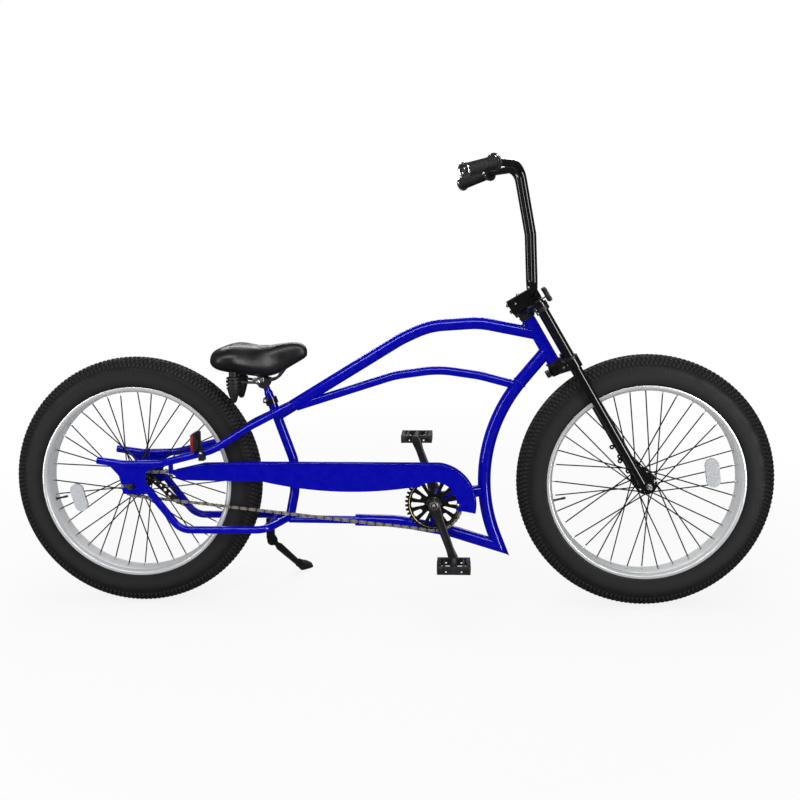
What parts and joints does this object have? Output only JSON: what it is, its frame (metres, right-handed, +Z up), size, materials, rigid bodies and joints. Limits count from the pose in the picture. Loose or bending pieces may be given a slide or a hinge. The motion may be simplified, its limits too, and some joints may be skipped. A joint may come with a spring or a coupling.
{
  "type": "chopper bicycle",
  "caption": "Long low chopper bicycle with fat tyres, curved tube frame, triple-clamp fork, tall handlebar, chain guard and side stand, parked leaning on the stand.",
  "frame": {"origin": "on the floor, under the middle of the parked bicycle's bounding box", "axes": "+X towards the front wheel, +Y towards the rider's left and the side stand, +Z up; the bicycle leans 8.6 degrees towards +Y"},
  "size_m": [2.245, 0.6493, 1.317],
  "materials": {
    "frame_paint": "gloss blue paint",
    "black_metal": "gloss black paint",
    "tyre_rubber": "matte rubber",
    "foot_rubber": "matte rubber",
    "rim_alloy": "machined and satin",
    "chrome": "polished",
    "bright_steel": "zinc plated",
    "chain_steel": "oiled",
    "black_plastic": "moulded",
    "saddle_cover": "black vinyl",
    "red_lens": "clear red",
    "clear_lens": "clear"
  },
  "bodies": {
    "frame": {"head_tube": "frame_paint", "top_tube": "frame_paint", "mid_tube": "frame_paint", "seat_tube": "frame_paint", "down_tube": "frame_paint", "bottom_tube": "frame_paint", "under_rails": "frame_paint", "bottom_bracket": "frame_paint", "upper_stays": "frame_paint", "lower_stays": "frame_paint", "dropouts": "frame_paint", "stand_bridge": "frame_paint", "chain_guard": "frame_paint", "headset": "black_metal", "chain": "chain_steel", "rear_cog": "black_metal", "rear_axle": "bright_steel", "brake_arm": "black_metal", "seat_collar": "black_metal", "seat_post": "frame_paint", "saddle_frame": "black_metal", "saddle": "saddle_cover", "saddle_springs": "black_metal", "stand_bracket": "black_metal", "rear_reflector": "red_lens", "rear_reflector_bracket": "black_plastic"},
    "stand": {"stand_leg": "black_metal", "stand_foot": "foot_rubber"},
    "fork": {"lower_crown": "black_metal", "upper_crown": "black_metal", "fork_legs": "black_metal", "front_axle": "bright_steel", "stem": "black_metal", "handlebar": "black_metal", "grips": "foot_rubber", "grip_rings": "chrome", "front_reflector": "clear_lens", "front_reflector_bracket": "black_plastic"},
    "front_wheel": {"front_tyre": "tyre_rubber", "front_rim": "rim_alloy", "front_spoked_hub": "black_metal", "front_wheel_reflector": "clear_lens"},
    "rear_wheel": {"rear_tyre": "tyre_rubber", "rear_rim": "rim_alloy", "rear_spoked_hub": "black_metal", "rear_wheel_reflector": "clear_lens"},
    "crank": {"chainring": "black_metal", "spindle": "bright_steel", "crank_arm_right": "black_metal", "crank_arm_left": "black_metal"},
    "pedal_right": {"pedal_right": "black_plastic"},
    "pedal_left": {"pedal_left": "black_plastic"}
  },
  "joints": [
    {"name": "steering", "type": "hinge", "parent": "frame", "child": "fork", "pos_m": [0.44594, -0.03052, 0.78096], "axis": [-0.4991, 0.1296, 0.8568], "range_deg": [-60, 60]},
    {"name": "front_wheel_spin", "type": "hinge", "parent": "fork", "child": "front_wheel", "pos_m": [0.75, -0.09268, 0.36991], "axis": [0, 0.9888, -0.1495], "continuous": true},
    {"name": "rear_wheel_spin", "type": "hinge", "parent": "frame", "child": "rear_wheel", "pos_m": [-0.75, -0.09268, 0.36991], "axis": [0, 0.9888, -0.1495], "continuous": true},
    {"name": "crank_spin", "type": "hinge", "parent": "frame", "child": "crank", "pos_m": [0.137, -0.10106, 0.31454], "axis": [0, 0.9888, -0.1495], "continuous": true},
    {"name": "pedal_right_spin", "type": "hinge", "parent": "crank", "child": "pedal_right", "pos_m": [0.19347, -0.27532, 0.17873], "axis": [0, 0.9888, -0.1495], "continuous": true},
    {"name": "pedal_left_spin", "type": "hinge", "parent": "crank", "child": "pedal_left", "pos_m": [0.08053, 0.07321, 0.45036], "axis": [0, 0.9888, -0.1495], "continuous": true},
    {"name": "stand_fold", "type": "hinge", "parent": "frame", "child": "stand", "pos_m": [-0.363, -0.07705, 0.17235], "axis": [-0.3091, 0.9481, 0.0751], "range_deg": [0, 105]}
  ]
}
